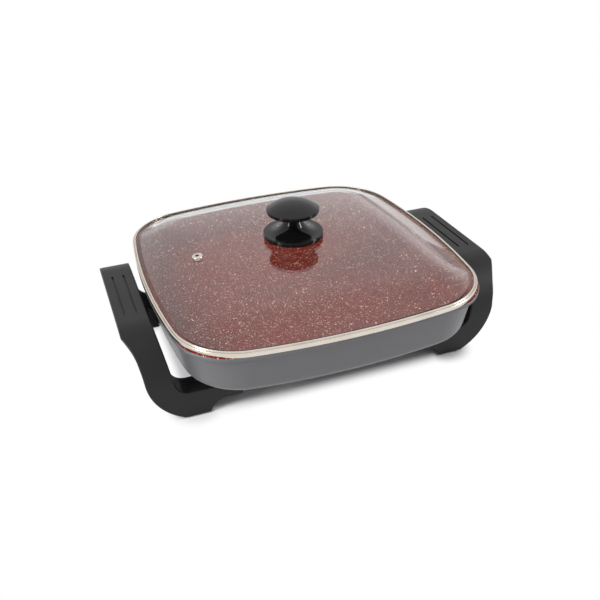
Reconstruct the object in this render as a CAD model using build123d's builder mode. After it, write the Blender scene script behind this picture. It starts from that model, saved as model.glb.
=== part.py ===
from build123d import *
import os
from math import asin, atan2, cos, radians, sin, sqrt, tan

os.makedirs("parts", exist_ok=True)

# A square electric skillet: a shallow cast pan on two moulded handles whose ends bend down into legs,
# with a loose domed glass lid. Millimetres, table at z = 0, handles at +X and -X, cook at -Y.

# Outline shared by the pan and its lid
lid_half = 151.0  # half width of the lid's steel rim, at the middle of a side
corner_radius = 64.0
side_radius = 685.0  # each side bows gently outwards

# Pan
pan_bottom = 45.7  # underside of the base above the table
pan_depth = 43.8
lip_overhang = 1.2  # how far the pan's lip shows beyond the lid's rim
lip_width = 3.6  # how far the lip stands out from the wall
lip_height = 3.4
lip_rounding = 1.3
wall_draft = 10.5  # degrees
wall_thickness = 4.1
base_thickness = 4.0
base_rounding = 10.0
well_rounding = 12.0

# Lid
glass_thickness = 4.0
rim_sheet = 0.6  # steel of the rolled rim
rim_width = 3.4
rim_rounding = 1.2
glass_rise = 24.3  # crown of the glass above the underside of its edge
crown_radius = 1200.0
shoulder_inset = 5.5  # shoulder's foot on the flat edge, in from the rim's outside
shoulder_slope = 60.0  # degrees from upright
shoulder_rounding = 60.0
foot_rounding = 6.0  # where the shoulder meets the flat edge

# Steam vent eyelet
vent_inset = 54.0  # in from the lid's left edge
vent_bore = 1.9
vent_barrel = 3.0
vent_flange = 5.2
vent_flange_height = 1.1
vent_foot = 4.6  # rolled end under the glass
vent_foot_height = 0.8
vent_rounding = 0.7

# Knob
knob_base_radius = 29.0
knob_base_band = 4.4  # upright band at the base's edge
knob_base_fall = 0.12  # slope of the flare where it meets the band
knob_base_rounding = 0.6
knob_neck_radius = 7.0
knob_neck_rise = 20.1  # top of the neck above the glass
knob_cap_radius = 26.5
knob_cap_lift = 4.9  # underside of the cap's edge above the neck
knob_cap_lip = 3.6  # upright edge of the cap
knob_cap_height = 11.8
knob_cap_rounding = 1.3
knob_hub_radius = 9.5
knob_hub_height = 2.0
knob_gasket_radius = 14.0
knob_gasket_height = 1.2
knob_gasket_proud = 0.6
knob_washer_radius = 9.0
knob_washer_height = 1.2
knob_screw_radius = 2.4
knob_screw_grip = 8.5  # length of the screw inside the cap
knob_screw_head_radius = 4.6
knob_screw_head_height = 3.0

# Handles: grip
grip_gap = 5.0  # between the lid's rim and the grip
grip_drop = 3.5  # top of the grip below the pan's rim
grip_width = 28.5
grip_height = 16.0
grip_wall = 5.5  # between the grip's inner edge and the hollows under it
grip_skin = 5.0
hollow_count = 3
hollow_width = 11.0
hollow_rounding = 2.0
rib_thickness = 2.5
groove_count = 2
groove_length = 75.0
groove_width = 1.9
groove_depth = 1.3
groove_spacing = 10.7

# Handles: legs
handle_half_length = 94.0
leg_depth = 24.5  # along Y
bend_radius = 45.0  # outside of the bend from grip to leg
inner_bend_radius = 18.0
grip_edge = 5.5  # upright outer edge of the grip
flare_height = 16.5  # the leg swells out to the grip's edge over this height
flare_reach = 9.0
leg_slope_height = 14.0  # straight stretch of the leg below the flare
leg_slope_reach = 2.5
leg_sweep = 31.7  # how far the leg then curves in to the foot
leg_lean = 8.3  # inside of the leg, in from the grip's inner edge
leg_bow = 2.9
leg_bow_height = 18.0
elbow_radius = 14.0  # where the leg turns into the arm
arm_height = 15.2
arm_overrun = 12.0  # arm's end past its screw
foot_length = 24.3
foot_ramp_length = 16.0  # over which the arm's underside drops to the foot
handle_rounding = 1.4

# Handles: lug at the middle of each side
lug_half_width = 14.5
lug_rise = 5.3  # underside of the lug above the pan's
lug_height = 21.0  # where it meets the pan
lug_drop = 6.0  # top of the lug below the grip's top, where they meet
lug_lap = 5.0  # how far the lug runs in under the grip

# Rubber foot pads
pad_radius = 8.5
pad_height = 2.6
pad_proud = 1.0
pad_rounding = 0.5

# Fits
slip = 0.3  # gap round a piece that drops into its seat
screw_slip = 0.2  # gap round a screw's shank
curve_gap = 0.15  # keeps a flat face off a domed one
blind_end = 1.5  # spare depth past the end of a screw

# Leg screws, from the arms up into posts under the pan
leg_screw_radius = 2.2
leg_screw_reach = 11.0
leg_screw_head_radius = 4.2
leg_screw_head_height = 2.8
leg_web = 8.0  # plastic between the screw's head and the post
post_radius = 8.0
post_height = 17.7

# Lug screws, from the lugs into bosses on the pan's sides
lug_screw_radius = 1.9
lug_screw_reach = 7.0
lug_screw_head_radius = 3.9
lug_screw_head_height = 2.4
lug_web = 4.0
lug_boss_radius = 6.0
lug_boss_length = 7.0

# Heating element under the pan
track_height = 4.0  # cast track that carries the element
track_width = 12.0
element_width = 8.0
element_height = 6.0
element_rounding = 1.8
element_inset = 67.0  # middle of the tube, in from the lid's edge
element_corner = 30.0
element_turn = 11.0  # small turns beside the inlet
terminal_spacing = 30.0

# Element clamps
clamp_length = 36.0
clamp_width = 13.0
clamp_height = 1.6
clamp_rounding = 3.0
clamp_screw_spacing = 25.0
clamp_boss_radius = 4.5

# Small screws of the clamps and the inlet
small_screw_radius = 1.7
small_screw_reach = 6.0
small_screw_head_radius = 3.4
small_screw_head_height = 2.0

# Inlet on the right-hand side
inlet_inset = 33.0  # back of the shroud, in from the lid's edge
inlet_depth = 28.0
inlet_half_width = 34.0
inlet_height = 19.9
inlet_wall = 2.0
inlet_corner = 4.0
inlet_tab = 13.0
inlet_tab_depth = 14.0
inlet_boss_radius = 5.0
inlet_boss_height = 6.0
pin_root_radius = 1.9  # inside the bush
pin_radius = 2.4
pin_setback = 5.0  # tip of a pin, in from the shroud's mouth
pin_rounding = 1.2
insulator_flange = 6.0
insulator_flange_length = 5.0
insulator_radius = 4.6
insulator_proud = 3.0
probe_radius = 4.0
probe_depth = 62.0
probe_wall = 3.2
probe_end_wall = 10.0

# Sizes that follow
side_centre = side_radius - lid_half
corner_centre = (sqrt(2 * (side_radius - corner_radius) ** 2 - side_centre**2) - side_centre) / 2
corner_start = atan2(corner_centre, corner_centre + side_centre)
pan_top = pan_bottom + pan_depth
rim_height = glass_thickness + 2 * rim_sheet
wall_top = pan_top - lip_height
wall_inset = lip_width - lip_overhang
well_inset = wall_inset + wall_thickness
rooted = pan_bottom + base_thickness / 2  # castings under the pan run into its base
glass_bottom = pan_top + rim_sheet
glass_middle = glass_bottom + glass_thickness / 2
glass_top = glass_bottom + glass_rise
shoulder_run = glass_thickness * tan(radians(shoulder_slope))  # level run of the shoulder per thickness
shoulder_start = shoulder_inset - shoulder_run / 2
hollow_start = shoulder_inset - shoulder_run + glass_thickness / cos(radians(shoulder_slope))
vent_reach = lid_half - vent_inset
vent_tilt = asin(vent_reach / crown_radius)
vent_height = glass_top - crown_radius * (1 - cos(vent_tilt))
vent_plane = Plane((-vent_reach, 0, vent_height), z_dir=(-sin(vent_tilt), 0, cos(vent_tilt)))
knob_base_bottom = glass_top + knob_gasket_proud
knob_band_top = knob_base_bottom + knob_base_band
knob_neck_top = glass_top + knob_neck_rise
knob_cap_edge = knob_neck_top + knob_cap_lift
knob_cap_top = knob_cap_edge + knob_cap_height
knob_washer_top = glass_top - glass_thickness - curve_gap
knob_screw_seat = knob_washer_top - knob_washer_height
knob_screw_end = knob_neck_top + knob_screw_grip
knob_hole_top = knob_screw_end + blind_end
element_half = lid_half - element_inset
element_top = pan_bottom - track_height
element_bottom = element_top - element_height
grip_top = pan_top - grip_drop
grip_bottom = grip_top - grip_height
grip_inner = lid_half + grip_gap
grip_outer = grip_inner + grip_width
grip_middle = (grip_inner + grip_outer) / 2
hollow_span = 2 * (handle_half_length - leg_depth - inner_bend_radius)
flare_top = grip_top - grip_edge
flare_bottom = flare_top - flare_height
flare_foot = grip_outer - flare_reach
leg_outer = flare_foot - leg_slope_reach
leg_curve_top = flare_bottom - leg_slope_height
leg_inner = grip_inner - leg_lean
leg_middle = handle_half_length - leg_depth / 2
leg_screw_place = element_half + track_width / 2 + post_radius
arm_top = pan_bottom - post_height
arm_bottom = arm_top - arm_height
arm_end = leg_screw_place - arm_overrun
elbow_top = arm_top + elbow_radius
foot_outer = leg_outer - leg_sweep
foot_inner = foot_outer - foot_length
foot_middle = (foot_inner + foot_outer) / 2
foot_ramp = foot_inner - foot_ramp_length
leg_screw_seat = arm_top - leg_web
lug_bottom = pan_bottom + lug_rise
lug_top_at_pan = lug_bottom + lug_height
lug_top_at_grip = grip_top - lug_drop
lug_outer = grip_inner + lug_lap
lug_screw_height = lug_bottom + lug_height / 2
inlet_back = lid_half - inlet_inset
inlet_mouth = inlet_back + inlet_depth
element_end = inlet_back - insulator_flange_length
terminal_height = (element_top + element_bottom) / 2
lead = terminal_spacing / 2
pin_start = inlet_back + inlet_wall + insulator_proud
pin_end = inlet_mouth - pin_setback
inlet_top = pan_bottom - slip
inlet_bottom = inlet_top - inlet_height
inlet_tab_top = pan_bottom - inlet_boss_height
inlet_screw_reach = inlet_half_width + inlet_tab / 2
inlet_screw_place = inlet_back + inlet_tab_depth / 2
small_hole_depth = small_screw_reach + blind_end
left, right = -1, 1
facing_down = (0, 0, -1)
leg_screw_places = [(side * leg_screw_place, end * leg_middle) for side in (left, right) for end in (-1, 1)]
inlet_screw_places = [(inlet_screw_place, end * inlet_screw_reach) for end in (-1, 1)]
clamp_places = {
    "front": Location((0, -element_half), 90),
    "rear": Location((0, element_half), 90),
    "left": Location((-element_half, 0), 0),
}


def wall_reach(height):
    """Outside of the pan's wall at the middle of a side."""
    return lid_half - wall_inset - (wall_top - height) * tan(radians(wall_draft))


lug_boss_end = wall_reach(lug_screw_height) + lug_boss_length
lug_screw_seat = lug_boss_end + lug_web


def bowed_square(inset):
    """The lid's outline, moved in evenly by inset."""
    side = side_radius - inset
    half = lid_half - inset
    join = (side * cos(corner_start) - side_centre, side * sin(corner_start))
    diagonal = corner_centre + (corner_radius - inset) * sqrt(0.5)
    with BuildSketch() as outline:
        with BuildLine():
            for quarter in range(4):
                points = [
                    Vector(*point).rotate(Axis.Z, 90 * quarter)
                    for point in ((join[0], -join[1]), (half, 0), join, (diagonal, diagonal), join[::-1])
                ]
                ThreePointArc(*points[:3])
                ThreePointArc(*points[2:])
        make_face()
    return outline.sketch


def dome(inset, bottom, top, crown, rounding):
    """A solid with sloping sides on the lid's outline, under a shallow spherical crown."""
    with BuildPart() as form:
        with BuildSketch(Plane.XY.offset(bottom)):
            add(bowed_square(inset))
        extrude(amount=top - bottom, taper=shoulder_slope)
        with Locations((0, 0, top - crown)):
            Sphere(crown, rotation=(90, 0, 0), mode=Mode.INTERSECT)
        fillet(form.faces().sort_by(Axis.Z)[-1].edges(), rounding)
    return form.part


def make_screw(seat, shank_radius, shank_length, head_radius, head_height):
    """A pan-head screw: its head lies on the seat's plane and its shank runs along the plane's normal."""
    with BuildPart() as screw:
        with BuildSketch(seat):
            Circle(head_radius)
        extrude(amount=-head_height)
        fillet(screw.faces().sort_by(Axis(seat.origin, seat.z_dir))[0].edges(), head_height / 2)
        with BuildSketch(seat):
            Circle(shank_radius)
        extrude(amount=shank_length)
    return screw.part


def small_screw(x, y, seat, thickness):
    """A screw driven upwards through a sheet of the given thickness into a boss."""
    return make_screw(
        Plane((x, y, seat)),
        small_screw_radius,
        thickness + small_screw_reach,
        small_screw_head_radius,
        small_screw_head_height,
    )


def element_route(height):
    """The heater's middle line: in at the inlet, once round under the base and out again."""
    first_half = [
        (element_end, lead),
        (element_half, lead),
        (element_half, element_half),
        (-element_half, element_half),
    ]
    second_half = [(x, -y) for x, y in reversed(first_half)]
    radii = [element_turn] + 4 * [element_corner] + [element_turn]
    with BuildLine(Plane.XY.offset(height)) as route:
        FilletPolyline(*first_half, *second_half, radius=radii)
    return route.line


def across(route):
    """The plane square to a route at its start, with its first axis level."""
    return Plane(route @ 0, x_dir=(0, 1, 0), z_dir=route % 0)


# Pan: a drafted well under a rounded lip, with everything that holds on to it cast on the outside
clamp_screw_places = [
    (place * Pos(end * clamp_screw_spacing / 2, 0)).position for place in clamp_places.values() for end in (-1, 1)
]
with BuildPart() as pan_body:
    with BuildSketch(Plane((0, 0, wall_top), z_dir=facing_down)):
        add(bowed_square(wall_inset))
    extrude(amount=wall_top - pan_bottom, taper=wall_draft)
    fillet(pan_body.faces().sort_by(Axis.Z)[0].edges(), base_rounding)
    with BuildSketch(Plane.XY.offset(wall_top)):
        add(bowed_square(-lip_overhang))
    extrude(amount=lip_height)
    fillet(pan_body.faces().sort_by(Axis.Z)[-1].edges(), lip_rounding)
    # Track along which the element lies
    track = element_route((element_top + rooted) / 2)
    with BuildSketch(across(track)):
        Rectangle(track_width, rooted - element_top)
    sweep(path=track)
    # Posts and bosses for the screws that come from below, each with its blind hole
    for places, radius, bottom, hole_radius, hole_depth in (
        (leg_screw_places, post_radius, arm_top, leg_screw_radius, leg_screw_reach + blind_end),
        (inlet_screw_places, inlet_boss_radius, inlet_tab_top, small_screw_radius, small_hole_depth),
        (clamp_screw_places, clamp_boss_radius, element_bottom, small_screw_radius, small_hole_depth),
    ):
        with BuildSketch(Plane.XY.offset(bottom)):
            with Locations(*places):
                Circle(radius)
        extrude(amount=rooted - bottom)
        with BuildSketch(Plane.XY.offset(bottom)):
            with Locations(*places):
                Circle(hole_radius + screw_slip)
        extrude(amount=hole_depth, mode=Mode.SUBTRACT)
    # Bosses on the sides that the lugs sit over
    for side in (left, right):
        boss_face = Plane((side * lug_boss_end, 0, lug_screw_height), z_dir=(-side, 0, 0))
        with BuildSketch(boss_face):
            Circle(lug_boss_radius)
        extrude(amount=lug_boss_length + wall_thickness / 2)
        with BuildSketch(boss_face):
            Circle(lug_screw_radius + screw_slip)
        extrude(amount=lug_screw_reach + blind_end, mode=Mode.SUBTRACT)
    # The well
    with BuildSketch(Plane((0, 0, pan_top), z_dir=facing_down)):
        add(bowed_square(well_inset))
    extrude(amount=pan_top - pan_bottom - base_thickness, taper=wall_draft, mode=Mode.SUBTRACT)
    well_floor = pan_body.faces().filter_by_position(Axis.Z, rooted, wall_top).filter_by(Axis.Z)[0]
    fillet(well_floor.edges(), well_rounding)
pan_body.part.label = "pan_body"
export_step(pan_body.part, "parts/pan_body.step")

# Boss for the thermostat's probe, flat against the base and bored from the inlet
with BuildPart() as probe_boss:
    boss_width = 2 * (probe_radius + probe_wall)
    with BuildSketch(Plane.YZ.offset(inlet_back)):
        with Locations((0, terminal_height)):
            Circle(boss_width / 2)
            Rectangle(boss_width, pan_bottom - terminal_height, align=(Align.CENTER, Align.MIN))
        with Locations((0, pan_bottom)):
            Rectangle(boss_width, 2 * boss_width, align=(Align.CENTER, Align.MAX), mode=Mode.INTERSECT)
    extrude(amount=-probe_depth - probe_end_wall)
    with BuildSketch(Plane.YZ.offset(inlet_back)):
        with Locations((0, terminal_height)):
            Circle(probe_radius)
    extrude(amount=-probe_depth, mode=Mode.SUBTRACT)
probe_boss.part.label = "probe_boss"
export_step(probe_boss.part, "parts/probe_boss.step")

# Heating element: one flattened tube on its track
with BuildPart() as heating_element:
    route = element_route(terminal_height)
    with BuildSketch(across(route)):
        RectangleRounded(element_width, element_height, element_rounding)
    sweep(path=route)
heating_element.part.label = "heating_element"
export_step(heating_element.part, "parts/heating_element.step")

# Clamps across the element, each held by two screws
for name, place in clamp_places.items():
    with BuildPart() as clamp:
        with BuildSketch(Plane.XY.offset(element_bottom)):
            with Locations(place):
                RectangleRounded(clamp_length, clamp_width, clamp_rounding)
                with GridLocations(clamp_screw_spacing, 0, 2, 1):
                    Circle(small_screw_radius + screw_slip, mode=Mode.SUBTRACT)
        extrude(amount=-clamp_height)
    clamp.part.label = f"{name}_element_clamp"
    export_step(clamp.part, f"parts/{name}_element_clamp.step")

with BuildPart() as clamp_screws:
    for place in clamp_screw_places:
        add(small_screw(place.X, place.Y, element_bottom - clamp_height, clamp_height))
clamp_screws.part.label = "clamp_screws"
export_step(clamp_screws.part, "parts/clamp_screws.step")

# Terminals: a pin on each end of the element, in a ceramic bush that sits in the shroud's back
for name, end in (("front", -1), ("rear", 1)):
    with BuildPart() as terminal_pin:
        for radius, start, stop in (
            (pin_root_radius, element_end, pin_start),
            (pin_radius, pin_start, pin_end),
        ):
            with BuildSketch(Plane.YZ.offset(start)):
                with Locations((end * lead, terminal_height)):
                    Circle(radius)
            extrude(amount=stop - start)
        fillet(terminal_pin.faces().sort_by(Axis.X)[-1].edges(), pin_rounding)
    terminal_pin.part.label = f"{name}_terminal_pin"
    export_step(terminal_pin.part, f"parts/{name}_terminal_pin.step")

    with BuildPart() as terminal_bush:
        for radius, start, stop in (
            (insulator_flange, element_end, inlet_back),
            (insulator_radius, inlet_back, pin_start),
        ):
            with BuildSketch(Plane.YZ.offset(start)):
                with Locations((end * lead, terminal_height)):
                    Circle(radius)
                    Circle(pin_root_radius + screw_slip, mode=Mode.SUBTRACT)
            extrude(amount=stop - start)
    terminal_bush.part.label = f"{name}_terminal_bush"
    export_step(terminal_bush.part, f"parts/{name}_terminal_bush.step")

# Inlet shroud: an open-fronted box under the pan's edge, hung on two tabs
with BuildPart() as inlet_shroud:
    for start, wall, mode in ((inlet_back, 0, Mode.ADD), (inlet_back + inlet_wall, inlet_wall, Mode.SUBTRACT)):
        with BuildSketch(Plane.YZ.offset(start)):
            with Locations((0, inlet_bottom + inlet_height / 2)):
                RectangleRounded(
                    2 * (inlet_half_width - wall), inlet_height - 2 * wall, inlet_corner - wall / 2
                )
        extrude(amount=inlet_mouth - start, mode=mode)
    with BuildSketch(Plane.YZ.offset(inlet_back)):
        with Locations((0, terminal_height)):
            Circle(probe_radius + slip)
            with Locations((-lead, 0), (lead, 0)):
                Circle(insulator_radius + slip)
    extrude(amount=inlet_wall, mode=Mode.SUBTRACT)
    with BuildSketch(Plane.XY.offset(inlet_tab_top)):
        with Locations(*inlet_screw_places):
            Rectangle(inlet_tab_depth, inlet_tab)
            Circle(small_screw_radius + screw_slip, mode=Mode.SUBTRACT)
    extrude(amount=-inlet_wall)
inlet_shroud.part.label = "inlet_shroud"
export_step(inlet_shroud.part, "parts/inlet_shroud.step")

with BuildPart() as inlet_screws:
    for x, y in inlet_screw_places:
        add(small_screw(x, y, inlet_tab_top - inlet_wall, inlet_wall))
inlet_screws.part.label = "inlet_screws"
export_step(inlet_screws.part, "parts/inlet_screws.step")


def make_handle(side):
    """One handle. Its front outline and its side outline are extruded and kept where they meet."""
    with BuildPart() as handle:
        # Front outline: foot, leg, flare, grip and the arm that reaches under the pan
        with BuildSketch(Plane.XZ):
            with BuildLine():
                Line((side * foot_inner, pad_proud), (side * foot_outer, pad_proud))
                TangentArc((side * leg_outer, leg_curve_top), (side * foot_outer, pad_proud), tangent=(0, -1))
                Line((side * leg_outer, leg_curve_top), (side * flare_foot, flare_bottom))
                TangentArc(
                    (side * flare_foot, flare_bottom),
                    (side * grip_outer, flare_top),
                    tangent=(side * leg_slope_reach, leg_slope_height),
                )
                Line((side * grip_outer, flare_top), (side * grip_outer, grip_top))
                Line((side * grip_outer, grip_top), (side * grip_inner, grip_top))
                ThreePointArc(
                    (side * grip_inner, grip_top),
                    (side * (leg_inner + leg_bow), elbow_top + leg_bow_height),
                    (side * leg_inner, elbow_top),
                )
                TangentArc(
                    (side * (leg_inner - elbow_radius), arm_top), (side * leg_inner, elbow_top), tangent=(side, 0)
                )
                Line((side * (leg_inner - elbow_radius), arm_top), (side * arm_end, arm_top))
                Line((side * arm_end, arm_top), (side * arm_end, arm_bottom))
                Line((side * arm_end, arm_bottom), (side * foot_ramp, arm_bottom))
                TangentArc((side * foot_ramp, arm_bottom), (side * foot_inner, pad_proud), tangent=(side, 0))
            make_face()
        extrude(amount=handle_half_length, both=True)
        # Side outline: a bail with a leg at each end
        with BuildSketch(Plane.YZ) as bail:
            Rectangle(2 * handle_half_length, grip_top, align=(Align.CENTER, Align.MIN))
            fillet(bail.vertices().group_by(Axis.Y)[-1], bend_radius)
            with BuildSketch(mode=Mode.SUBTRACT) as window:
                Rectangle(2 * (handle_half_length - leg_depth), grip_bottom, align=(Align.CENTER, Align.MIN))
                fillet(window.vertices().group_by(Axis.Y)[-1], inner_bend_radius)
        extrude(amount=side * 2 * grip_outer, mode=Mode.INTERSECT)
        # Lug between the grip and the pan's side
        with BuildSketch(Plane.XZ):
            with BuildLine():
                Polyline(
                    (side * (wall_reach(lug_bottom) + slip), lug_bottom),
                    (side * (wall_reach(lug_top_at_pan) + slip), lug_top_at_pan),
                    (side * grip_inner, lug_top_at_grip),
                    (side * lug_outer, lug_top_at_grip),
                    (side * lug_outer, lug_bottom),
                    close=True,
                )
            make_face()
        extrude(amount=lug_half_width, both=True)
        fillet(handle.edges(), handle_rounding)
        # Grooves along the grip
        with BuildSketch(Plane.XY.offset(grip_top)):
            with Locations((side * grip_middle, 0)):
                with GridLocations(groove_spacing, 0, groove_count, 1):
                    SlotOverall(groove_length, groove_width, rotation=90)
        extrude(amount=-groove_depth, mode=Mode.SUBTRACT)
        # Hollows under the grip, with ribs between them
        hollow_length = (hollow_span - (hollow_count - 1) * rib_thickness) / hollow_count
        with BuildSketch(Plane.XY.offset(grip_bottom)):
            with Locations((side * (grip_inner + grip_wall + hollow_width / 2), 0)):
                with GridLocations(0, hollow_length + rib_thickness, 1, hollow_count):
                    RectangleRounded(hollow_width, hollow_length, hollow_rounding)
        extrude(amount=grip_height - grip_skin, mode=Mode.SUBTRACT)
        # Counterbored holes for the leg screws
        for radius, top in (
            (leg_screw_head_radius + slip, leg_screw_seat),
            (leg_screw_radius + screw_slip, arm_top),
        ):
            with BuildSketch():
                with Locations(*((side * leg_screw_place, end * leg_middle) for end in (-1, 1))):
                    Circle(radius)
            extrude(amount=top, mode=Mode.SUBTRACT)
        # Recesses for the foot pads
        with BuildSketch():
            with Locations(*((side * foot_middle, end * leg_middle) for end in (-1, 1))):
                Circle(pad_radius + slip)
        extrude(amount=pad_height, mode=Mode.SUBTRACT)
        # Socket over the pan's boss, and the counterbored hole for the lug screw
        for radius, start, end in (
            (lug_boss_radius + slip, wall_reach(lug_bottom), lug_boss_end),
            (lug_screw_radius + screw_slip, lug_boss_end, lug_screw_seat),
            (lug_screw_head_radius + slip, lug_screw_seat, grip_outer),
        ):
            with BuildSketch(Plane((side * start, 0, lug_screw_height), z_dir=(side, 0, 0))):
                Circle(radius)
            extrude(amount=end - start, mode=Mode.SUBTRACT)
    return handle.part


left_handle = make_handle(left)
left_handle.label = "left_handle"
export_step(left_handle, "parts/left_handle.step")

right_handle = make_handle(right)
right_handle.label = "right_handle"
export_step(right_handle, "parts/right_handle.step")

with BuildPart() as leg_screws:
    for x, y in leg_screw_places:
        add(
            make_screw(
                Plane((x, y, leg_screw_seat)),
                leg_screw_radius,
                leg_web + leg_screw_reach,
                leg_screw_head_radius,
                leg_screw_head_height,
            )
        )
leg_screws.part.label = "leg_screws"
export_step(leg_screws.part, "parts/leg_screws.step")

with BuildPart() as lug_screws:
    for side in (left, right):
        add(
            make_screw(
                Plane((side * lug_screw_seat, 0, lug_screw_height), z_dir=(-side, 0, 0)),
                lug_screw_radius,
                lug_web + lug_screw_reach,
                lug_screw_head_radius,
                lug_screw_head_height,
            )
        )
lug_screws.part.label = "lug_screws"
export_step(lug_screws.part, "parts/lug_screws.step")

# Rubber pads under the feet
for name, x, y in (
    ("front_left", -foot_middle, -leg_middle),
    ("front_right", foot_middle, -leg_middle),
    ("rear_left", -foot_middle, leg_middle),
    ("rear_right", foot_middle, leg_middle),
):
    with BuildPart() as foot_pad:
        with BuildSketch():
            with Locations((x, y)):
                Circle(pad_radius)
        extrude(amount=pad_height)
        fillet(foot_pad.faces().sort_by(Axis.Z)[0].edges(), pad_rounding)
    foot_pad.part.label = f"{name}_foot_pad"
    export_step(foot_pad.part, f"parts/{name}_foot_pad.step")

# Lid glass: a flat edge, a sloping shoulder and a shallow crown, with holes for the knob and the vent
with BuildPart() as lid_glass:
    with BuildSketch(Plane.XY.offset(glass_bottom)):
        add(bowed_square(rim_sheet + slip))
    extrude(amount=glass_thickness)
    add(dome(shoulder_start, glass_middle, glass_top, crown_radius, shoulder_rounding))
    foot = lid_glass.faces().filter_by(Axis.Z).filter_by_position(Axis.Z, glass_bottom + 1, glass_top)[0]
    fillet(foot.inner_wires()[0].edges(), foot_rounding)
    add(
        dome(
            hollow_start,
            glass_bottom,
            glass_top - glass_thickness,
            crown_radius - glass_thickness,
            shoulder_rounding - glass_thickness,
        ),
        mode=Mode.SUBTRACT,
    )
    for plane, radius in (
        (Plane((0, 0, glass_top)), knob_screw_radius),
        (vent_plane, vent_barrel),
    ):
        with BuildSketch(plane):
            Circle(radius + slip)
        extrude(amount=2 * glass_thickness, both=True, mode=Mode.SUBTRACT)
lid_glass.part.label = "lid_glass"
export_step(lid_glass.part, "parts/lid_glass.step")

# Lid rim: a steel channel rolled over the glass's edge
with BuildPart() as lid_rim:
    with BuildSketch(Plane.XY.offset(pan_top)):
        add(bowed_square(0))
        add(bowed_square(rim_width), mode=Mode.SUBTRACT)
    extrude(amount=rim_height)
    outer_edges = lid_rim.faces().filter_by(Axis.Z)
    fillet([edge for face in outer_edges for edge in face.outer_wire().edges()], rim_rounding)
    with BuildSketch(Plane.XY.offset(glass_bottom)):
        add(bowed_square(rim_sheet))
    extrude(amount=glass_thickness, mode=Mode.SUBTRACT)
lid_rim.part.label = "lid_rim"
export_step(lid_rim.part, "parts/lid_rim.step")

# Vent eyelet, riveted through the glass square to its surface
with BuildPart() as vent_eyelet:
    for radius, bottom, top in (
        (vent_flange, curve_gap, curve_gap + vent_flange_height),
        (vent_barrel, -glass_thickness - curve_gap, curve_gap),
        (vent_foot, -glass_thickness - curve_gap - vent_foot_height, -glass_thickness - curve_gap),
    ):
        with BuildSketch(vent_plane.offset(bottom)):
            Circle(radius)
            Circle(vent_bore, mode=Mode.SUBTRACT)
        extrude(amount=top - bottom)
    crest = vent_eyelet.faces().sort_by(Axis(vent_plane.origin, vent_plane.z_dir))[-1]
    fillet(crest.outer_wire().edges(), vent_rounding)
vent_eyelet.part.label = "vent_eyelet"
export_step(vent_eyelet.part, "parts/vent_eyelet.step")

# Knob, clamped to the glass by a screw from below
with BuildPart() as knob_gasket:
    with BuildSketch(Plane.XY.offset(glass_top + curve_gap)):
        Circle(knob_gasket_radius)
        Circle(knob_screw_radius + slip, mode=Mode.SUBTRACT)
    extrude(amount=knob_gasket_height - curve_gap)
knob_gasket.part.label = "knob_gasket"
export_step(knob_gasket.part, "parts/knob_gasket.step")

with BuildPart() as knob_base:
    with BuildSketch(Plane.XZ) as base_outline:
        with BuildLine():
            Polyline(
                (knob_base_radius, knob_band_top),
                (knob_base_radius, knob_base_bottom),
                (knob_gasket_radius + slip, knob_base_bottom),
                (knob_gasket_radius + slip, glass_top + knob_gasket_height),
                (knob_screw_radius + screw_slip, glass_top + knob_gasket_height),
                (knob_screw_radius + screw_slip, knob_neck_top),
                (knob_neck_radius, knob_neck_top),
            )
            Spline(
                (knob_neck_radius, knob_neck_top),
                (knob_base_radius, knob_band_top),
                tangents=((0, -1), (1, -knob_base_fall)),
            )
        make_face()
        fillet(base_outline.vertices().group_by(Axis.X)[-1], knob_base_rounding)
    revolve(axis=Axis.Z)
knob_base.part.label = "knob_base"
export_step(knob_base.part, "parts/knob_base.step")

with BuildPart() as knob_cap:
    with BuildSketch(Plane.XZ) as cap_outline:
        with BuildLine():
            Polyline(
                (0, knob_cap_top),
                (0, knob_hole_top),
                (knob_screw_radius + screw_slip, knob_hole_top),
                (knob_screw_radius + screw_slip, knob_neck_top),
                (knob_hub_radius, knob_neck_top),
                (knob_hub_radius, knob_neck_top + knob_hub_height),
                (knob_cap_radius, knob_cap_edge),
                (knob_cap_radius, knob_cap_edge + knob_cap_lip),
            )
            TangentArc((0, knob_cap_top), (knob_cap_radius, knob_cap_edge + knob_cap_lip), tangent=(1, 0))
        make_face()
        fillet(cap_outline.vertices().group_by(Axis.X)[-1], knob_cap_rounding)
    revolve(axis=Axis.Z)
knob_cap.part.label = "knob_cap"
export_step(knob_cap.part, "parts/knob_cap.step")

with BuildPart() as knob_washer:
    with BuildSketch(Plane.XY.offset(knob_washer_top)):
        Circle(knob_washer_radius)
        Circle(knob_screw_radius + screw_slip, mode=Mode.SUBTRACT)
    extrude(amount=-knob_washer_height)
knob_washer.part.label = "knob_washer"
export_step(knob_washer.part, "parts/knob_washer.step")

with BuildPart() as knob_screw:
    add(
        make_screw(
            Plane((0, 0, knob_screw_seat)),
            knob_screw_radius,
            knob_screw_end - knob_screw_seat,
            knob_screw_head_radius,
            knob_screw_head_height,
        )
    )
knob_screw.part.label = "knob_screw"
export_step(knob_screw.part, "parts/knob_screw.step")
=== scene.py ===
from math import asin, atan2, cos, pi, radians, sin, sqrt, tan

import bmesh
import bpy
import numpy as np
from mathutils import Matrix, Vector


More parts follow.
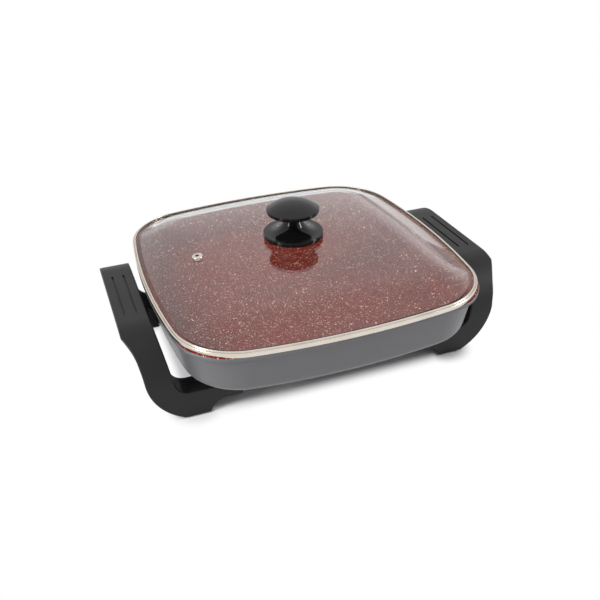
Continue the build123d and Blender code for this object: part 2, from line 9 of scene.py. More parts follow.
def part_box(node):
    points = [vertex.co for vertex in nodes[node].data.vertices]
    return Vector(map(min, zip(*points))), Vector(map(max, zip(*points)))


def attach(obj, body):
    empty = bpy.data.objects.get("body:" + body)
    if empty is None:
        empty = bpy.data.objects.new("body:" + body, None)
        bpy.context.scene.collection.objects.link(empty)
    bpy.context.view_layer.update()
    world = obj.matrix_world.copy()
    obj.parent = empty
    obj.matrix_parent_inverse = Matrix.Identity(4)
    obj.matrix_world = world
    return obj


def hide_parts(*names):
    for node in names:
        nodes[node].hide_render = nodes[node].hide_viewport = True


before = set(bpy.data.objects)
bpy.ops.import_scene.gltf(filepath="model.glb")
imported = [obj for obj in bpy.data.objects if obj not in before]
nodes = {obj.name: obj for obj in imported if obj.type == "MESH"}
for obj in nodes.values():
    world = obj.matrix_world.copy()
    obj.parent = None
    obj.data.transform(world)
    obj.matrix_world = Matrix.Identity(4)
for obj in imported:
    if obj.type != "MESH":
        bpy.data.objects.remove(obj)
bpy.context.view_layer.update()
scene = bpy.context.scene
mm = 0.001
print("frame loaded:", len(nodes), "nodes")


# Node helpers

def feed(tree, socket, value):
    if isinstance(value, bpy.types.NodeSocket):
        tree.links.new(value, socket)
    else:
        socket.default_value = value


def put(tree, kind, settings=None, **sockets):
    node = tree.nodes.new(kind)
    for key, value in (settings or {}).items():
        setattr(node, key, value)
    for key, value in sockets.items():
        feed(tree, node.inputs[key.replace("_", " ")], value)
    return node


def calc(tree, operation, *values):
    node = put(tree, "ShaderNodeMath", {"operation": operation})
    for socket, value in zip(node.inputs, values):
        feed(tree, socket, value)
    return node.outputs[0]


# A Mix node's colours are its sockets 6 and 7, and its output 2
def mixColour(tree, factor, a, b):
    node = put(tree, "ShaderNodeMix", {"data_type": "RGBA"})
    feed(tree, node.inputs[0], factor)
    feed(tree, node.inputs[6], a)
    feed(tree, node.inputs[7], b)
    return node.outputs[2]


def spread(tree, value, low, high, start=0.0, end=1.0, soft="LINEAR"):
    node = put(
        tree, "ShaderNodeMapRange", {"interpolation_type": soft},
        Value=value, From_Min=low, From_Max=high, To_Min=start, To_Max=end,
    )
    return node.outputs[0]


def noise(tree, place, scale, detail):
    return put(tree, "ShaderNodeTexNoise", Vector=place, Scale=scale, Detail=detail).outputs[0]


def newGroup(name, inputs, outputs):
    group = bpy.data.node_groups.new(name, "ShaderNodeTree")
    group.interface.new_socket("Vector", in_out="INPUT", socket_type="NodeSocketVector")
    for label in inputs:
        group.interface.new_socket(label, in_out="INPUT", socket_type="NodeSocketFloat")
    for label in outputs:
        group.interface.new_socket(label, in_out="OUTPUT", socket_type="NodeSocketFloat")
    start = group.nodes.new("NodeGroupInput")
    end = group.nodes.new("NodeGroupOutput")
    return group, start.outputs, end.inputs


# Grain shared by every finish: a fine and a broad noise give roughness, bump height and a tint mask
grainMix = {
    "fineDetail": 3.0, "broadDetail": 4.0, "fineShare": 0.35, "broadShare": 0.65, "range": (0.36, 0.64),
}


def makeGrain():
    group, given, result = newGroup(
        "finishGrain",
        ["Fine Scale", "Broad Scale", "Rough Low", "Rough High"], ["Roughness", "Height", "Tint"],
    )
    fine = noise(group, given["Vector"], given["Fine Scale"], grainMix["fineDetail"])
    broad = noise(group, given["Vector"], given["Broad Scale"], grainMix["broadDetail"])
    part = calc(group, "MULTIPLY", fine, grainMix["fineShare"])
    both = calc(group, "MULTIPLY_ADD", broad, grainMix["broadShare"], part)
    mask = spread(group, both, *grainMix["range"])
    span = calc(group, "SUBTRACT", given["Rough High"], given["Rough Low"])
    feed(group, result["Roughness"], calc(group, "MULTIPLY_ADD", mask, span, given["Rough Low"]))
    feed(group, result["Height"], fine)
    feed(group, result["Tint"], mask)
    return group


grainGroup = makeGrain()


def newMaterial(name):
    material = bpy.data.materials.new(name)
    material.use_nodes = True
    tree = material.node_tree
    tree.nodes.clear()
    surface = tree.nodes.new("ShaderNodeOutputMaterial").inputs["Surface"]
    place = put(tree, "ShaderNodeTexCoord").outputs["Object"]
    return material, tree, surface, place


def addGrain(tree, place, rough, fine, broad):
    return put(
        tree, "ShaderNodeGroup", {"node_tree": grainGroup},
        Vector=place, Fine_Scale=float(fine), Broad_Scale=float(broad),
        Rough_Low=rough[0], Rough_High=rough[1],
    ).outputs


# Two close shades, range of roughness, fine and broad grain per metre, and depth of the relief in mm
finishTable = {
    "pan": dict(name="greySatinPaint", light=(0.108, 0.108, 0.115), dark=(0.096, 0.096, 0.102),
                rough=(0.34, 0.44), fine=1400, broad=30, bump=0.02),
    "steel": dict(name="rolledSteel", light=(0.75, 0.685, 0.61), dark=(0.69, 0.63, 0.56),
                  rough=(0.18, 0.26), fine=900, broad=60, bump=0.001, metallic=1.0),
    "handle": dict(name="satinBlackHandle", light=(0.0095, 0.009, 0.0095), dark=(0.007, 0.0066, 0.007),
                   rough=(0.38, 0.50), fine=2200, broad=45, bump=0.02, specular=0.31),
    "knobCap": dict(name="satinBlackCap", light=(0.0050, 0.0050, 0.0052), dark=(0.0036, 0.0036, 0.0038),
                    rough=(0.22, 0.30), fine=2200, broad=60, bump=0.006, specular=0.40),
    "knobBase": dict(name="glossBlackBase", light=(0.0045, 0.0045, 0.005), dark=(0.0035, 0.0035, 0.004),
                     rough=(0.05, 0.09), fine=600, broad=60, bump=0.001, specular=0.30),
    "rubber": dict(name="padRubber", light=(0.026, 0.026, 0.026), dark=(0.018, 0.018, 0.018),
                   rough=(0.70, 0.88), fine=1800, broad=90, bump=0.04),
    "zinc": dict(name="zincScrews", light=(0.60, 0.60, 0.61), dark=(0.48, 0.48, 0.49),
                 rough=(0.28, 0.42), fine=1200, broad=200, bump=0.006, metallic=1.0),
    "clamp": dict(name="clampSheet", light=(0.50, 0.50, 0.50), dark=(0.40, 0.40, 0.40),
                  rough=(0.35, 0.50), fine=900, broad=120, bump=0.01, metallic=1.0),
    "sheath": dict(name="elementSheath", light=(0.13, 0.115, 0.105), dark=(0.075, 0.068, 0.065),
                   rough=(0.45, 0.65), fine=1500, broad=70, bump=0.02, metallic=0.8),
    "nickel": dict(name="nickelPins", light=(0.70, 0.68, 0.64), dark=(0.62, 0.60, 0.56),
                   rough=(0.15, 0.25), fine=900, broad=150, bump=0.003, metallic=1.0),
    "ceramic": dict(name="whiteCeramic", light=(0.78, 0.76, 0.71), dark=(0.70, 0.68, 0.63),
                    rough=(0.55, 0.75), fine=1600, broad=120, bump=0.02),
    "inlet": dict(name="inletPlastic", light=(0.020, 0.020, 0.021), dark=(0.015, 0.015, 0.016),
                  rough=(0.45, 0.58), fine=2000, broad=60, bump=0.02),
}


def makeFinish(name, light, dark, rough, fine, broad, bump, metallic=0.0, specular=0.5):
    material, tree, surface, place = newMaterial(name)
    grain = addGrain(tree, place, rough, fine, broad)
    colour = mixColour(tree, grain["Tint"], (*dark, 1), (*light, 1))
    relief = put(tree, "ShaderNodeBump", Strength=1.0, Distance=bump * mm, Height=grain["Height"])
    shader = put(
        tree, "ShaderNodeBsdfPrincipled",
        Base_Color=colour, Roughness=grain["Roughness"], Metallic=metallic,
        Specular_IOR_Level=specular, Normal=relief.outputs[0],
    )
    tree.links.new(shader.outputs[0], surface)
    return material


finishes = {key: makeFinish(**values) for key, values in finishTable.items()}

# Coating: deep red with layers of cream speckles
coating = {
    "red": (0.150, 0.0100, 0.0050, 1), "deepRed": (0.118, 0.0078, 0.0040, 1),
    "cream": (0.76, 0.58, 0.44, 1),
    "layers": [  # cells per metre, blob's size within a cell, share of the cells
        (1000, 0.38, 0.22), (560, 0.36, 0.27), (360, 0.34, 0.06),
    ],
    "blobSizes": (0.6, 0.4), "blobEdge": 0.05,  # range and least of the sizes, softness of the edge
    "warp": 0.0002, "warpScale": 1100.0,
    "rough": (0.32, 0.44), "fine": 1200, "broad": 55, "specular": 0.10, "bump": 0.012,
}


# Small blobs in a share of the cells of a cell pattern
def makeSpeckles():
    group, given, result = newGroup("speckles", ["Scale", "Size", "Share"], ["Mask"])
    cells = put(group, "ShaderNodeTexVoronoi", Vector=given["Vector"], Scale=given["Scale"])
    lot = put(group, "ShaderNodeSeparateColor", Color=cells.outputs["Color"]).outputs
    chosen = calc(group, "LESS_THAN", lot[0], given["Share"])
    size = calc(group, "MULTIPLY_ADD", lot[1], *coating["blobSizes"])
    reach = calc(group, "MULTIPLY", given["Size"], size)
    inside = calc(group, "SUBTRACT", reach, cells.outputs["Distance"])
    blob = spread(group, inside, -coating["blobEdge"], coating["blobEdge"])
    feed(group, result["Mask"], calc(group, "MULTIPLY", blob, chosen))
    return group


speckleGroup = makeSpeckles()


def makeCoating():
    material, tree, surface, place = newMaterial("speckledCoating")
    ripple = put(tree, "ShaderNodeTexNoise", Vector=place, Scale=coating["warpScale"], Detail=1.0)
    shift = put(tree, "ShaderNodeVectorMath", {"operation": "MULTIPLY_ADD"})
    feed(tree, shift.inputs[0], ripple.outputs["Color"])
    feed(tree, shift.inputs[1], (coating["warp"],) * 3)
    feed(tree, shift.inputs[2], place)
    grain = addGrain(tree, place, coating["rough"], coating["fine"], coating["broad"])
    colour = mixColour(tree, grain["Tint"], coating["deepRed"], coating["red"])
    for scale, size, share in coating["layers"]:
        spots = put(
            tree, "ShaderNodeGroup", {"node_tree": speckleGroup},
            Vector=shift.outputs[0], Scale=float(scale), Size=size, Share=share,
        ).outputs["Mask"]
        colour = mixColour(tree, spots, colour, coating["cream"])
    depth = coating["bump"] * mm
    relief = put(tree, "ShaderNodeBump", Strength=1.0, Distance=depth, Height=grain["Height"])
    shader = put(
        tree, "ShaderNodeBsdfPrincipled",
        Base_Color=colour, Roughness=grain["Roughness"], Specular_IOR_Level=coating["specular"],
        Normal=relief.outputs[0],
    )
    tree.links.new(shader.outputs[0], surface)
    return material


# Glass that lets the light through to the pan
glass = {
    "colour": (0.975, 0.985, 0.98, 1), "shadow": (0.90, 0.92, 0.91, 1), "bend": 1.53,
    "smearScale": 14.0, "smearDetail": 3.0, "smear": 0.012,
}


def makeGlass():
    material, tree, surface, place = newMaterial("temperedGlass")
    cloud = noise(tree, place, glass["smearScale"], glass["smearDetail"])
    smear = spread(tree, cloud, 0.0, 1.0, 0.0, glass["smear"])
    shader = put(
        tree, "ShaderNodeBsdfPrincipled",
        Base_Color=glass["colour"], Roughness=smear, IOR=glass["bend"], Transmission_Weight=1.0,
    )
    clear = put(tree, "ShaderNodeBsdfTransparent", Color=glass["shadow"])
    mix = put(tree, "ShaderNodeMixShader", Fac=put(tree, "ShaderNodeLightPath").outputs["Is Shadow Ray"])
    tree.links.new(shader.outputs[0], mix.inputs[1])
    tree.links.new(clear.outputs[0], mix.inputs[2])
    tree.links.new(mix.outputs[0], surface)
    return material


finishes["coating"] = makeCoating()
finishes["glass"] = makeGlass()
print("finishes made:", len(finishes))


# Mesh helpers

weld = {"node": 0.001 * mm, "piece": 0.0001 * mm}  # points this close are merged


def addPiece(mesh, body, replaces=(), sharp=35):
    mesh.shade_smooth()
    mesh.set_sharp_from_angle(angle=radians(sharp))
    piece = bpy.data.objects.new(mesh.name, mesh)
    scene.collection.objects.link(piece)
    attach(piece, body)
    if replaces:
        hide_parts(*replaces)
    return piece


def newMesh(name, points, faces, materials, faceMaterials=None):
    mesh = bpy.data.meshes.new(name)
    mesh.from_pydata([tuple(point) for point in points], [], faces)
    for material in materials:
        mesh.materials.append(material)
    if faceMaterials is not None:
        mesh.polygons.foreach_set("material_index", faceMaterials)
    return mesh


# A CAD node's mesh is loose triangles, so a copy of it is merged
def mergedCopy(name):
    form = bmesh.new()
    form.from_mesh(nodes[name].data)
    bmesh.ops.remove_doubles(form, verts=form.verts, dist=weld["node"])
    return form


# A form's faces turned outwards, and the form put into its mesh
def intoMesh(form, mesh):
    bmesh.ops.recalc_face_normals(form, faces=form.faces)
    form.to_mesh(mesh)
    form.free()
    return mesh


# The mesh of an object once its modifiers are applied, with the object removed
def settled(thing, name):
    bpy.context.view_layer.update()
    mesh = bpy.data.meshes.new_from_object(thing.evaluated_get(bpy.context.evaluated_depsgraph_get()))
    mesh.name = name
    bpy.data.objects.remove(thing)
    return mesh


def circle(radius, count):
    angles = [2 * pi * i / count for i in range(count)]
    return [(radius * cos(angle), radius * sin(angle)) for angle in angles]


# Corners of an open line rounded to their radii; every corner gets the same number of points
def rounded(points, radii, steps=8):
    points = [np.array(point, float) for point in points]
    line = [points[0]]
    for before, corner, after, radius in zip(points, points[1:], points[2:], radii):
        a = (before - corner) / np.linalg.norm(before - corner)
        b = (after - corner) / np.linalg.norm(after - corner)
        half = np.arccos(np.clip(a @ b, -1, 1)) / 2
        centre = corner + (a + b) / np.linalg.norm(a + b) * radius / sin(half)
        start = corner + a * radius / tan(half) - centre
        end = corner + b * radius / tan(half) - centre
        turn = np.arccos(np.clip(start @ end / radius**2, -1, 1))
        for i in range(steps + 1):
            t = i / steps
            line.append(centre + (start * sin((1 - t) * turn) + end * sin(t * turn)) / sin(turn))
    line.append(points[-1])
    return np.array(line)


outline = {"half": 151.0, "cornerRadius": 64.0, "sideRadius": 685.0, "sideSteps": 26, "cornerSteps": 30}


# Points and outward directions once round the lid's outline, in mm
def outlineLoop():
    side, corner = outline["sideRadius"], outline["cornerRadius"]
    sideCentre = side - outline["half"]
    cornerCentre = (sqrt(2 * (side - corner) ** 2 - sideCentre**2) - sideCentre) / 2
    swing = atan2(cornerCentre, cornerCentre + sideCentre)
    arcs = (
        ((-sideCentre, 0), side, -swing, swing, outline["sideSteps"]),
        ((cornerCentre, cornerCentre), corner, swing, pi / 2 - swing, outline["cornerSteps"]),
    )
    places, ways = [], []
    for quarter in range(4):
        turn = quarter * pi / 2
        spin = np.array([[cos(turn), -sin(turn)], [sin(turn), cos(turn)]])
        for centre, radius, low, high, steps in arcs:
            for i in range(steps):
                angle = low + (high - low) * i / steps
                way = np.array([cos(angle), sin(angle)])
                places.append(spin @ (np.array(centre) + radius * way))
                ways.append(spin @ way)
    return np.array(places), np.array(ways)


loopPlaces, loopWays = outlineLoop()
loopCount = len(loopPlaces)


def ring(inset, height):
    flat = loopPlaces - loopWays * np.broadcast_to(inset, loopCount)[:, None]
    return np.column_stack([flat, np.broadcast_to(height, loopCount)])


def loft(rings, closed=False, capped=False):
    points = np.concatenate(rings)
    faces = []
    for r in range(len(rings) if closed else len(rings) - 1):
        low, high = r * loopCount, (r + 1) % len(rings) * loopCount
        for i in range(loopCount):
            j = (i + 1) % loopCount
            faces.append((low + i, low + j, high + j, high + i))
    if capped:
        end = (len(rings) - 1) * loopCount
        points = np.vstack([points, rings[0].mean(axis=0), rings[-1].mean(axis=0)])
        for i in range(loopCount):
            j = (i + 1) % loopCount
            faces.append((len(points) - 2, j, i))
            faces.append((len(points) - 1, end + i, end + j))
    return points * mm, faces


# Pan: one closed shell, painted outside and coated inside, and the castings under it
pan = {
    "top": 89.5, "bottom": 45.7, "base": 4.0, "draft": 10.5, "wallInset": 2.4, "wall": 4.1,
    "lipOver": 2.0, "lipDrawn": 2.2, "lipFade": 1.2, "lipHeight": 3.4, "lipRounding": 1.3, "lipUnder": 0.8,
    "lipSide": 1.02,  # the outside's line ends this many roundings below the lip's top
    "cornerStart": 0.5, "cornerSpan": 0.45,  # where the lip comes out, from 0 on a side to 1 on a diagonal
    "baseRounding": 10.0, "wellEdge": 1.2, "wellRounding": 12.0, "middleInset": 60.0,
    "coatStep": 5,  # the coating runs out over the lip's rounding to this step of it
    "sideBoss": (61.5, 6.05, 140.0),  # height, radius and start of the bosses on the sides
    "castingSkim": 0.05, "castingRoot": 1.0,  # castings start this far below the base and run this far in
}


def makePan():
    lean = tan(radians(pan["draft"]))
    wallTop = pan["top"] - pan["lipHeight"]
    footInset = pan["wallInset"] + (wallTop - pan["bottom"]) * lean
    wellInset = pan["wallInset"] + pan["wall"]
    floor = pan["bottom"] + pan["base"]
    lipSide = (-pan["lipOver"], pan["top"] - pan["lipRounding"] * pan["lipSide"])
    outside = rounded(
        [(pan["middleInset"], pan["bottom"]), (footInset, pan["bottom"]), (pan["wallInset"], wallTop),
         (-pan["lipOver"], wallTop), lipSide],
        [pan["baseRounding"], pan["lipUnder"], pan["lipUnder"]],
    )
    inside = rounded(
        [lipSide, (-pan["lipOver"], pan["top"]), (wellInset, pan["top"]),
         (wellInset + (pan["top"] - floor) * lean, floor), (pan["middleInset"], floor)],
        [pan["lipRounding"], pan["wellEdge"], pan["wellRounding"]],
    )[1:]
    # The lip stands out under the lid's rim at the corners only
    diagonal = np.abs(2 * loopWays[:, 0] * loopWays[:, 1])
    corner = np.clip((diagonal - pan["cornerStart"]) / pan["cornerSpan"], 0, 1)
    drawn = pan["lipDrawn"] * (1 - corner**2 * (3 - 2 * corner))
    rings = []
    for inset, height in np.vstack([outside, inside]):
        share = np.clip((pan["lipFade"] - inset) / (pan["lipFade"] + pan["lipOver"]), 0, 1)
        rings.append(ring(inset + drawn * share, height))
    points, faces = loft(rings, capped=True)
    coatStart = len(outside) + pan["coatStep"]
    coated = [int(r >= coatStart) for r in range(len(rings) - 1) for i in range(loopCount)]
    coated += [0, 1] * loopCount
    mesh = newMesh("panShell", points, faces, [finishes["pan"], finishes["coating"]], coated)
    addPiece(mesh, "pan", ["pan_body"], sharp=60)


def makeCastings():
    form = mergedCopy("pan_body")
    height, radius, start = (value * mm for value in pan["sideBoss"])
    level = (pan["bottom"] - pan["castingSkim"]) * mm
    root = pan["castingRoot"] * mm
    spare = []
    for face in form.faces:
        spots = [vert.co for vert in face.verts]
        below = min(spot.z for spot in spots) < level
        boss = all(
            abs(spot.x) > start and Vector((spot.y, spot.z - height)).length < radius for spot in spots
        )
        if not (below or boss):
            spare.append(face)
    bmesh.ops.delete(form, geom=spare, context="FACES")
    # Open edges run into the pan and are closed there
    grown = bmesh.ops.extrude_edge_only(form, edges=[edge for edge in form.edges if edge.is_boundary])
    for vert in (thing for thing in grown["geom"] if isinstance(thing, bmesh.types.BMVert)):
        if vert.co.z < height - radius:
            vert.co.z += root
        else:
            vert.co.x -= root if vert.co.x > 0 else -root
    bmesh.ops.holes_fill(form, edges=[edge for edge in form.edges if edge.is_boundary], sides=0)
    mesh = newMesh("panCastings", [], [], [finishes["pan"]])
    addPiece(intoMesh(form, mesh), "pan")


makePan()
makeCastings()
print("pan made")

# Lid glass: a thin edge in the rim, a sloping shoulder and a shallow crown
lid = {
    "edgeInset": 0.9, "edgeBottom": 90.1, "edgeTop": 92.3, "thickness": 4.0,
    "shoulderInset": 4.0, "shoulderSlope": 66.0,  # degrees from upright
    "shoulderBlend": 5.0, "innerBlend": 4.6, "footBlend": 0.8, "crownRadius": 1200.0, "crownTop": 114.4,
    "knobHole": 2.7, "ventReach": 97.0, "ventHole": 3.3, "ventSegments": 48,
    "drillDepth": 30.0, "drillDrop": 4.0,
    "firstRing": 2.2, "ringStep": 0.6, "crownStart": 10.0, "crownStep": 1.25, "lastInset": 60.0,
    "middleRings": 16, "middleReach": 90.0,
}


# The lower of two surfaces, eased over a stretch where they are close
def eased(a, b, stretch):
    near = np.maximum(stretch - np.abs(a - b), 0) / stretch
    return np.minimum(a, b) - near**2 * stretch / 4


# Height of the outside, at depth 0, or of the inside
def lidHeight(flat, inset, depth):
    slope = radians(lid["shoulderSlope"])
    foot = lid["shoulderInset"] + depth / cos(slope)
    shoulder = lid["edgeTop"] + (inset - foot) / tan(slope)
    ball = np.sqrt((lid["crownRadius"] - depth) ** 2 - (flat**2).sum(axis=1))
    crown = ball + lid["crownTop"] - lid["crownRadius"]
    top = eased(shoulder, crown, lid["innerBlend"] if depth else lid["shoulderBlend"])
    if depth:
        return np.maximum(top, lid["edgeBottom"])
    return -eased(-top, np.full(loopCount, -lid["edgeTop"]), lid["footBlend"])


def lidRings(depth):
    insets = np.concatenate([
        [lid["edgeInset"]],
        np.arange(lid["firstRing"], lid["crownStart"], lid["ringStep"]),
        np.arange(lid["crownStart"], lid["lastInset"] + 1, lid["crownStep"]),
    ])
    flats = [(loopPlaces - loopWays * inset, inset) for inset in insets]
    last = flats[-1][0]
    hole = last / np.linalg.norm(last, axis=1, keepdims=True) * lid["knobHole"]
    for i in range(1, lid["middleRings"] + 1):
        share = i / lid["middleRings"]
        flats.append((last + (hole - last) * share, lid["lastInset"] + share * lid["middleReach"]))
    return [np.column_stack([flat, lidHeight(flat, inset, depth)]) for flat, inset in flats]


def makeLidGlass():
    outside = lidRings(0.0)
    inside = lidRings(lid["thickness"])[::-1]
    points, faces = loft(outside + inside, closed=True)
    mesh = newMesh("lidGlass", points, faces, [finishes["glass"]])
    blank = bpy.data.objects.new("lidBlank", mesh)
    scene.collection.objects.link(blank)
    # The vent's hole is drilled square to the crown
    reach, radius = lid["ventReach"], lid["ventHole"] * mm
    middle = Matrix.Translation((-reach * mm, 0, (lid["crownTop"] - lid["drillDrop"]) * mm))
    tilt = Matrix.Rotation(-asin(reach / lid["crownRadius"]), 4, "Y")
    form = bmesh.new()
    bmesh.ops.create_cone(
        form, cap_ends=True, segments=lid["ventSegments"], radius1=radius, radius2=radius,
        depth=lid["drillDepth"] * mm, matrix=middle @ tilt,
    )
    drillMesh = bpy.data.meshes.new("ventDrill")
    form.to_mesh(drillMesh)
    form.free()
    drill = bpy.data.objects.new("ventDrill", drillMesh)
    scene.collection.objects.link(drill)
    cut = blank.modifiers.new("ventHole", "BOOLEAN")
    cut.object = drill
    cut.solver = "EXACT"
    final = settled(blank, "lidGlassShell")
    bpy.data.objects.remove(drill)
    form = bmesh.new()
    form.from_mesh(final)
    addPiece(intoMesh(form, final), "lid", ["lid_glass"], sharp=50)


# Lid rim: steel rolled round the edge of the glass
rim = {
    "bottom": 89.55, "top": 94.5, "shoulder": 93.4, "sheet": 0.6, "lowerWidth": 3.4, "upperWidth": 3.2,
    "lipBottom": 92.4, "grooveStart": 0.85, "grooveEnd": 1.95, "grooveDepth": 1.0, "steps": 5,
    # roundings from the lower outer corner, over the groove, to the bead's two corners
    "roundings": (0.3, 0.7, 0.15, 0.2, 0.5, 0.5),
}


def makeRim():
    sheet, low, side, high = rim["sheet"], rim["bottom"], rim["shoulder"], rim["top"]
    start, end = rim["grooveStart"], rim["grooveEnd"]
    outside = rounded(
        [(rim["lowerWidth"], low), (0, low), (0, side), (start, side),
         ((start + end) / 2, side - rim["grooveDepth"]), (end, high),
         (rim["upperWidth"], high), (rim["upperWidth"], rim["lipBottom"])],
        rim["roundings"], steps=rim["steps"],
    )
    inside = [(sheet, rim["lipBottom"]), (sheet, low + sheet), (rim["lowerWidth"], low + sheet)]
    rings = [ring(inset, height) for inset, height in np.vstack([outside, inside])]
    points, faces = loft(rings, closed=True)
    mesh = newMesh("lidRim", points, faces, [finishes["steel"]])
    addPiece(mesh, "lid", ["lid_rim"], sharp=40)


makeLidGlass()
makeRim()
print("lid made")

# Knob: a glossy foot with a deep curve into its neck, and a satin cap with a glossy edge
knob = {
    "segments": 96, "footRadius": 29.2, "footBottom": 115.0, "bandTop": 119.3,
    "bandRounding": 0.5, "flareRounding": 0.49, "bandSteps": 5,
    "neckRadius": 7.0, "neckTop": 134.5, "neckCurve": 3.1, "neckSteps": 28,
    "neckBunching": 1.5,  # over 1 sets the steps closer up the neck
    "recessRadius": 14.3, "recessTop": 115.6, "holeRadius": 2.7, "holeTop": 144.5,
    "capRadius": 25.4, "capTop": 151.19, "capEdge": 142.9, "capUnder": 139.2,
    "edgeRounding": 1.75, "edgeSteps": 10, "hubRadius": 9.5, "hubTop": 136.5, "domeSteps": 24,
}


# A closed outline of radius and height, turned about the upright axis
def turned(name, profile, materials, glossy):
    count = knob["segments"]
    form = bmesh.new()
    rows = []
    for radius, height in profile:
        rows.append([form.verts.new(Vector((x, y, height)) * mm) for x, y in circle(radius, count)])
    for r, (row, above) in enumerate(zip(rows, rows[1:] + rows[:1])):
        for i in range(count):
            j = (i + 1) % count
            form.faces.new((row[i], row[j], above[j], above[i])).material_index = int(r in glossy)
    bmesh.ops.remove_doubles(form, verts=form.verts, dist=weld["piece"])
    return intoMesh(form, newMesh(name, [], [], materials))


def makeKnobFoot():
    neck, top, band = knob["neckRadius"], knob["neckTop"], knob["bandTop"]
    reach = knob["footRadius"] - neck - knob["bandRounding"]
    profile = [(knob["holeRadius"], top)]
    for i in range(knob["neckSteps"] + 1):
        share = (i / knob["neckSteps"]) ** knob["neckBunching"]
        profile.append((neck + reach * share, band + (top - band) * (1 - share) ** knob["neckCurve"]))
    edge = rounded(
        [profile[-1], (knob["footRadius"], band), (knob["footRadius"], knob["footBottom"]),
         (knob["recessRadius"], knob["footBottom"])],
        [knob["flareRounding"], knob["bandRounding"]], steps=knob["bandSteps"],
    )[1:]
    profile += [tuple(point) for point in edge]
    profile += [(knob["recessRadius"], knob["recessTop"]), (knob["holeRadius"], knob["recessTop"])]
    mesh = turned("knobFoot", profile, [finishes["knobBase"]], ())
    addPiece(mesh, "lid", ["knob_base"], sharp=50)


def makeKnobTop():
    rise = knob["capTop"] - knob["capEdge"]
    ball = (knob["capRadius"] ** 2 + rise**2) / (2 * rise)
    swing = asin(knob["capRadius"] / ball)
    profile = []
    for i in range(knob["domeSteps"] + 1):
        angle = swing * i / knob["domeSteps"]
        profile.append((ball * sin(angle), knob["capTop"] - ball * (1 - cos(angle))))
    edge = rounded(
        [profile[-1], (knob["capRadius"], knob["capUnder"]), (knob["hubRadius"], knob["hubTop"])],
        [knob["edgeRounding"]], steps=knob["edgeSteps"],
    )[1:]
    glossy = range(len(profile) - 1, len(profile) + len(edge) - 1)
    profile += [tuple(point) for point in edge]
    profile += [(knob["hubRadius"], knob["neckTop"]), (knob["holeRadius"], knob["neckTop"])]
    profile += [(knob["holeRadius"], knob["holeTop"]), (0, knob["holeTop"])]
    mesh = turned("knobTop", profile, [finishes["knobCap"], finishes["knobBase"]], glossy)
    addPiece(mesh, "lid", ["knob_cap"], sharp=50)


makeKnobFoot()
makeKnobTop()
print("knob made")

# Screws with a cross recess, one row for each CAD group
screw = {
    "segments": 48, "headRings": 14, "tip": 0.5,
    "headHeight": 0.62, "headSeat": 0.97,  # shares of the head's radius
    "headFall": 0.72, "headEdge": 0.12, "recessDepth": 0.55,  # fall of the dome, and shares of its height
    "recessWidth": 0.30, "recessReach": 0.62, "widthFade": 0.08, "reachFade": 0.10,  # shares of the radius
}
screwRows = [  # CAD node, piece, body, way the heads face, shank's share of the head's radius
    ("clamp_screws", "clampScrewsRow", "pan", (0, 0, -1), 0.5),
    ("inlet_screws", "inletScrewsRow", "pan", (0, 0, -1), 0.5),
    ("leg_screws", "legScrewsRow", "pan", (0, 0, -1), 0.524),
    ("lug_screws", "lugScrewsRow", "pan", None, 0.487),  # these face outwards, left and right
    ("knob_screw", "knobScrewRow", "lid", (0, 0, -1), 0.522),
]


def screwForm(headRadius, headHeight, shankRadius, length):
    profile = []  # radius and height, from the middle of the head to the tip; the head's seat is at zero
    for i in range(screw["headRings"] + 1):
        share = i / screw["headRings"]
        profile.append((headRadius * share, headHeight * sqrt(1 - screw["headFall"] * share**2)))
    profile += [(headRadius, headHeight * screw["headEdge"]), (headRadius * screw["headSeat"], 0)]
    profile += [(shankRadius, 0), (shankRadius, screw["tip"] - length)]
    profile += [(shankRadius - screw["tip"], -length), (0, -length)]
    count = screw["segments"]
    halfWidth, reach = screw["recessWidth"] * headRadius / 2, screw["recessReach"] * headRadius
    form = bmesh.new()
    rows = []
    for r, (radius, height) in enumerate(profile):
        row = []
        for x, y in circle(radius, count):
            drop = 0.0
            if r <= screw["headRings"]:
                across, along = sorted((abs(x), abs(y)))
                inWidth = np.clip((halfWidth - across) / (screw["widthFade"] * headRadius) + 0.5, 0, 1)
                inReach = np.clip((reach - along) / (screw["reachFade"] * headRadius) + 0.5, 0, 1)
                drop = inWidth * inReach * screw["recessDepth"] * headHeight
            row.append(form.verts.new(Vector((x, y, height - drop)) * mm))
        rows.append(row)
    for row, below in zip(rows, rows[1:]):
        for i in range(count):
            j = (i + 1) % count
            form.faces.new((row[i], below[i], below[j], row[j]))
    bmesh.ops.remove_doubles(form, verts=form.verts, dist=weld["piece"])
    return intoMesh(form, bpy.data.meshes.new("screwForm"))


